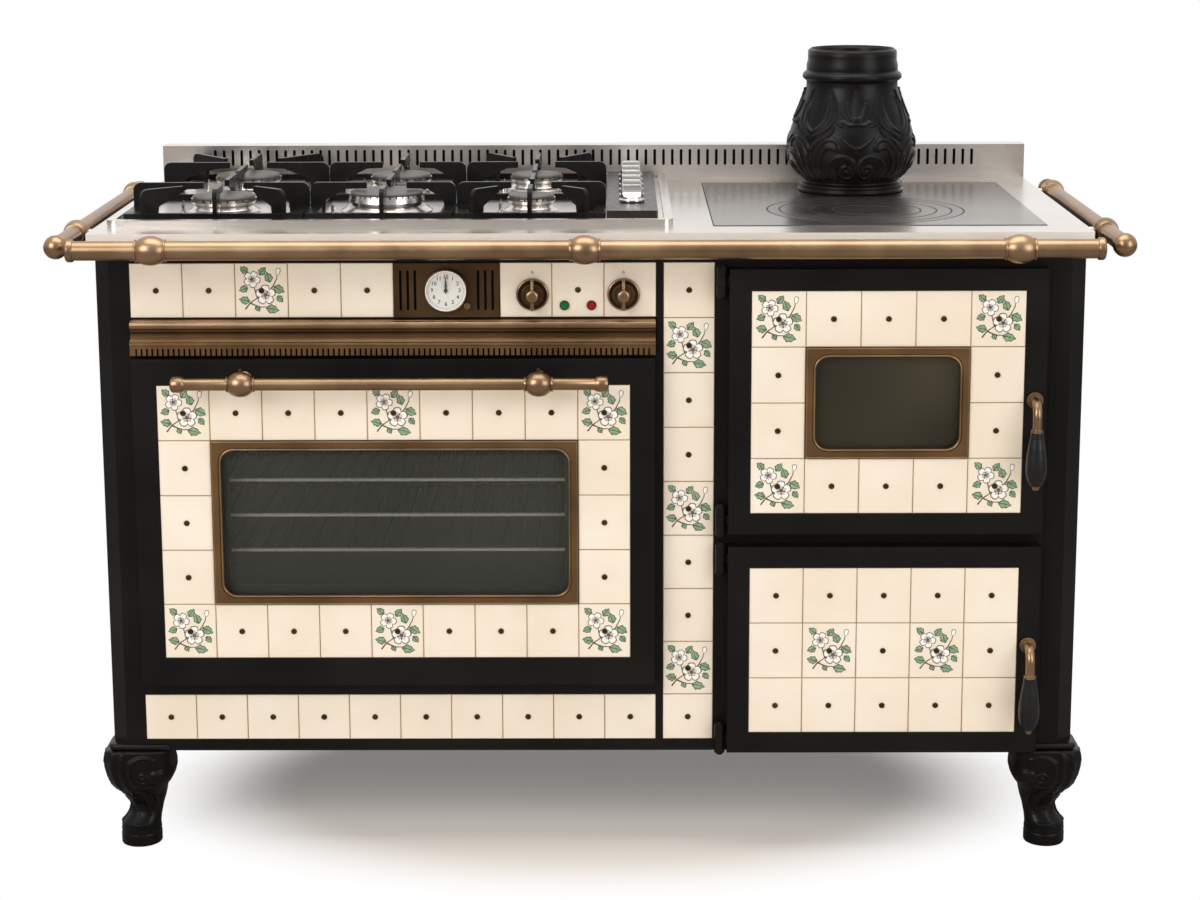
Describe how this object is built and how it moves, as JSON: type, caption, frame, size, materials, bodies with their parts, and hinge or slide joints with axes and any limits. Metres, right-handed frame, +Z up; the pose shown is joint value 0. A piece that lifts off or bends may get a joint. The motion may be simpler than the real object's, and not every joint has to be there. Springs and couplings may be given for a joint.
{
  "type": "range cooker",
  "caption": "Range cooker: gas hob over an electric oven, wood fire under a ringed cooking plate with a cast flue urn, tiled front, towel rails and cabriole feet.",
  "frame": {"origin": "on the floor, under the middle of the overall box", "axes": "+Z up, -Y towards the front with the doors, +X to the right of someone who faces the front"},
  "size_m": [1.516, 0.7154, 1.137],
  "materials": {
    "black_enamel": "satin black stove enamel",
    "cast_iron": "matt black casting",
    "bronze": "dull antique bronze",
    "stainless": "brushed",
    "chrome": "polished",
    "tile": "cream glaze",
    "dark_glass": "tinted, clear",
    "clear_glass": "clear",
    "plate_iron": "machined bright",
    "dial": "white dial in a brass case",
    "enamel_grey": "speckled dark enamel",
    "firebrick": "firebrick lining in its cast shell",
    "strip": "dark satin metal",
    "grip": "brass with a black grip"
  },
  "bodies": {
    "cabinet": {"base_frame": "black_enamel", "feet": "cast_iron", "cabinet_panels": "black_enamel", "corner_posts": "black_enamel", "front_frame": "black_enamel", "cabinet_tiles": "tile", "worktop": "stainless", "upstand": "stainless", "towel_rails": "bronze", "rear_inlets": "bronze", "hob_pan": "stainless", "burner_heads": "chrome", "burner_caps": "cast_iron", "control_strip": "strip", "cooking_plate": "plate_iron", "flue_urn": "cast_iron", "vent_cornice": "bronze", "clock_panel": "bronze", "clock_dial": "dial", "clock_glass_and_lamps": "clear_glass", "oven_liner": "enamel_grey", "oven_racks": "chrome", "oven_elements": "enamel_grey", "door_hinges": "black_enamel", "firebox": "firebrick", "fire_grate": "cast_iron", "ash_pan": "enamel_grey"},
    "oven_door": {"oven_door_frame": "black_enamel", "oven_door_tiles": "tile", "oven_window_frame": "bronze", "oven_door_glass": "dark_glass", "oven_door_liner": "enamel_grey", "oven_handle": "bronze"},
    "fire_door": {"fire_door_frame": "black_enamel", "fire_door_tiles": "tile", "fire_window_frame": "bronze", "fire_door_glass": "dark_glass"},
    "lower_door": {"lower_door_frame": "black_enamel", "lower_door_tiles": "tile"},
    "fire_lever": {"fire_lever": "grip"},
    "lower_lever": {"lower_lever": "grip"},
    "minute_hand": {"minute_hand": "black_enamel"},
    "hour_hand": {"hour_hand": "black_enamel"},
    "clock_knob": {"clock_knob": "bronze"},
    "oven_knob_left": {"oven_knob_left": "bronze"},
    "oven_knob_right": {"oven_knob_right": "bronze"},
    "grate_left": {"grate_left": "cast_iron"},
    "grate_middle": {"grate_middle": "cast_iron"},
    "grate_right": {"grate_right": "cast_iron"},
    "plate_ring_1": {"plate_ring_1": "plate_iron"},
    "plate_ring_2": {"plate_ring_2": "plate_iron"},
    "plate_ring_3": {"plate_ring_3": "plate_iron"},
    "plate_ring_4": {"plate_ring_4": "plate_iron"},
    "plate_lid": {"plate_lid": "plate_iron"},
    "gas_knob_1": {"gas_knob_1": "chrome"},
    "gas_knob_2": {"gas_knob_2": "chrome"},
    "gas_knob_3": {"gas_knob_3": "chrome"},
    "gas_knob_4": {"gas_knob_4": "chrome"},
    "gas_knob_5": {"gas_knob_5": "chrome"},
    "gas_knob_6": {"gas_knob_6": "chrome"}
  },
  "joints": [
    {"name": "oven_door_swing", "type": "hinge", "parent": "cabinet", "child": "oven_door", "pos_m": [-0.27725, -0.26825, 0.261], "axis": [1, 0, 0], "range_deg": [0, 90]},
    {"name": "fire_door_swing", "type": "hinge", "parent": "cabinet", "child": "fire_door", "pos_m": [0.18475, -0.27325, 0.67175], "axis": [0, 0, -1], "range_deg": [0, 100]},
    {"name": "lower_door_swing", "type": "hinge", "parent": "cabinet", "child": "lower_door", "pos_m": [0.18475, -0.27325, 0.309], "axis": [0, 0, -1], "range_deg": [0, 90]},
    {"name": "fire_lever_turn", "type": "hinge", "parent": "fire_door", "child": "fire_lever", "pos_m": [0.624, -0.28525, 0.676], "axis": [0, 1, 0], "range_deg": [0, 70]},
    {"name": "lower_lever_turn", "type": "hinge", "parent": "lower_door", "child": "lower_lever", "pos_m": [0.624, -0.28525, 0.318], "axis": [0, 1, 0], "range_deg": [0, 70]},
    {"name": "minute_hand_turn", "type": "hinge", "parent": "cabinet", "child": "minute_hand", "pos_m": [-0.2024, -0.26625, 0.83], "axis": [0, 1, 0], "continuous": true},
    {"name": "hour_hand_turn", "type": "hinge", "parent": "cabinet", "child": "hour_hand", "pos_m": [-0.2024, -0.26525, 0.83], "axis": [0, 1, 0], "continuous": true},
    {"name": "clock_knob_turn", "type": "hinge", "parent": "cabinet", "child": "clock_knob", "pos_m": [-0.1724, -0.26625, 0.8085], "axis": [0, 1, 0], "continuous": true},
    {"name": "oven_knob_left_turn", "type": "hinge", "parent": "cabinet", "child": "oven_knob_left", "pos_m": [-0.08095, -0.27225, 0.824], "axis": [0, 1, 0], "range_deg": [0, 270]},
    {"name": "oven_knob_right_turn", "type": "hinge", "parent": "cabinet", "child": "oven_knob_right", "pos_m": [0.04705, -0.27225, 0.824], "axis": [0, 1, 0], "range_deg": [0, 270]},
    {"name": "gas_knob_1_turn", "type": "hinge", "parent": "cabinet", "child": "gas_knob_1", "pos_m": [0.06, -0.09225, 0.94], "axis": [0, 0, 1], "range_deg": [0, 210]},
    {"name": "gas_knob_2_turn", "type": "hinge", "parent": "cabinet", "child": "gas_knob_2", "pos_m": [0.06, -0.03225, 0.94], "axis": [0, 0, 1], "range_deg": [0, 210]},
    {"name": "gas_knob_3_turn", "type": "hinge", "parent": "cabinet", "child": "gas_knob_3", "pos_m": [0.06, 0.02775, 0.94], "axis": [0, 0, 1], "range_deg": [0, 210]},
    {"name": "gas_knob_4_turn", "type": "hinge", "parent": "cabinet", "child": "gas_knob_4", "pos_m": [0.06, 0.08775, 0.94], "axis": [0, 0, 1], "range_deg": [0, 210]},
    {"name": "gas_knob_5_turn", "type": "hinge", "parent": "cabinet", "child": "gas_knob_5", "pos_m": [0.06, 0.14775, 0.94], "axis": [0, 0, 1], "range_deg": [0, 210]},
    {"name": "gas_knob_6_turn", "type": "hinge", "parent": "cabinet", "child": "gas_knob_6", "pos_m": [0.06, 0.20775, 0.94], "axis": [0, 0, 1], "range_deg": [0, 210]},
    {"name": "grate_left_lift", "type": "slide", "parent": "cabinet", "child": "grate_left", "axis": [0, 0, 1], "range_m": [0, 0.06]},
    {"name": "grate_middle_lift", "type": "slide", "parent": "cabinet", "child": "grate_middle", "axis": [0, 0, 1], "range_m": [0, 0.06]},
    {"name": "grate_right_lift", "type": "slide", "parent": "cabinet", "child": "grate_right", "axis": [0, 0, 1], "range_m": [0, 0.06]},
    {"name": "plate_ring_1_lift", "type": "slide", "parent": "cabinet", "child": "plate_ring_1", "axis": [0, 0, 1], "range_m": [0, 0.025]},
    {"name": "plate_ring_2_lift", "type": "slide", "parent": "plate_ring_1", "child": "plate_ring_2", "axis": [0, 0, 1], "range_m": [0, 0.025]},
    {"name": "plate_ring_3_lift", "type": "slide", "parent": "plate_ring_2", "child": "plate_ring_3", "axis": [0, 0, 1], "range_m": [0, 0.025]},
    {"name": "plate_ring_4_lift", "type": "slide", "parent": "plate_ring_3", "child": "plate_ring_4", "axis": [0, 0, 1], "range_m": [0, 0.025]},
    {"name": "plate_lid_lift", "type": "slide", "parent": "plate_ring_4", "child": "plate_lid", "axis": [0, 0, 1], "range_m": [0, 0.025]}
  ],
  "couplings": [
    {"joint": "hour_hand_turn", "follows": "minute_hand_turn", "ratio": 0.083333}
  ]
}
